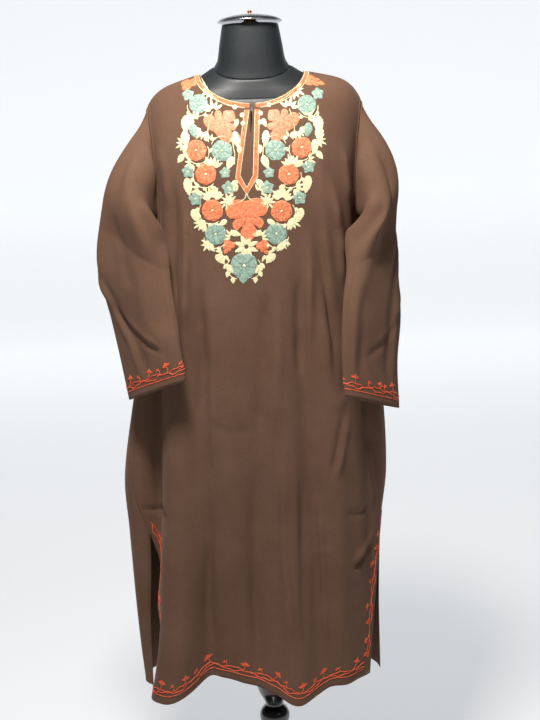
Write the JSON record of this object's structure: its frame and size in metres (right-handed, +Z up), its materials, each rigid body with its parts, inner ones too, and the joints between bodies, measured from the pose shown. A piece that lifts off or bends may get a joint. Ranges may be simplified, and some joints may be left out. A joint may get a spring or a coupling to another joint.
{
  "type": "pheran on dress form",
  "caption": "Long loose wool tunic with an embroidered yoke, long sleeves and side slits, worn by a limbless dress form on a turned stand.",
  "frame": {"origin": "middle of the underside of the stand's base, on the floor", "axes": "+Z up along the pole, -Y out of the front of the tunic, +X to the right as seen from the front"},
  "size_m": [0.5324, 0.372, 1.524],
  "materials": {
    "wool_cloth": "woven wool, matt, with a faint nap",
    "border_thread": "dense chain stitch in orange thread edged with cream",
    "yoke_thread": "dense chain stitch in orange, teal and cream thread",
    "form_shell": "moulded, satin black",
    "stand_lacquer": "turned and lacquered, gloss black",
    "cap_steel": "spun and brushed",
    "cap_brass": "satin"
  },
  "bodies": {
    "root": {"front_panel": "wool_cloth", "back_panel": "wool_cloth", "sleeve_left": "wool_cloth", "sleeve_right": "wool_cloth", "neck_border": "border_thread", "yoke_embroidery": "yoke_thread", "form_torso": "form_shell", "form_neck": "form_shell", "cap_boss": "cap_brass", "neck_cap": "cap_steel", "cap_knob": "cap_brass", "stand_pole": "stand_lacquer", "stand_base": "stand_lacquer"}
  },
  "joints": []
}
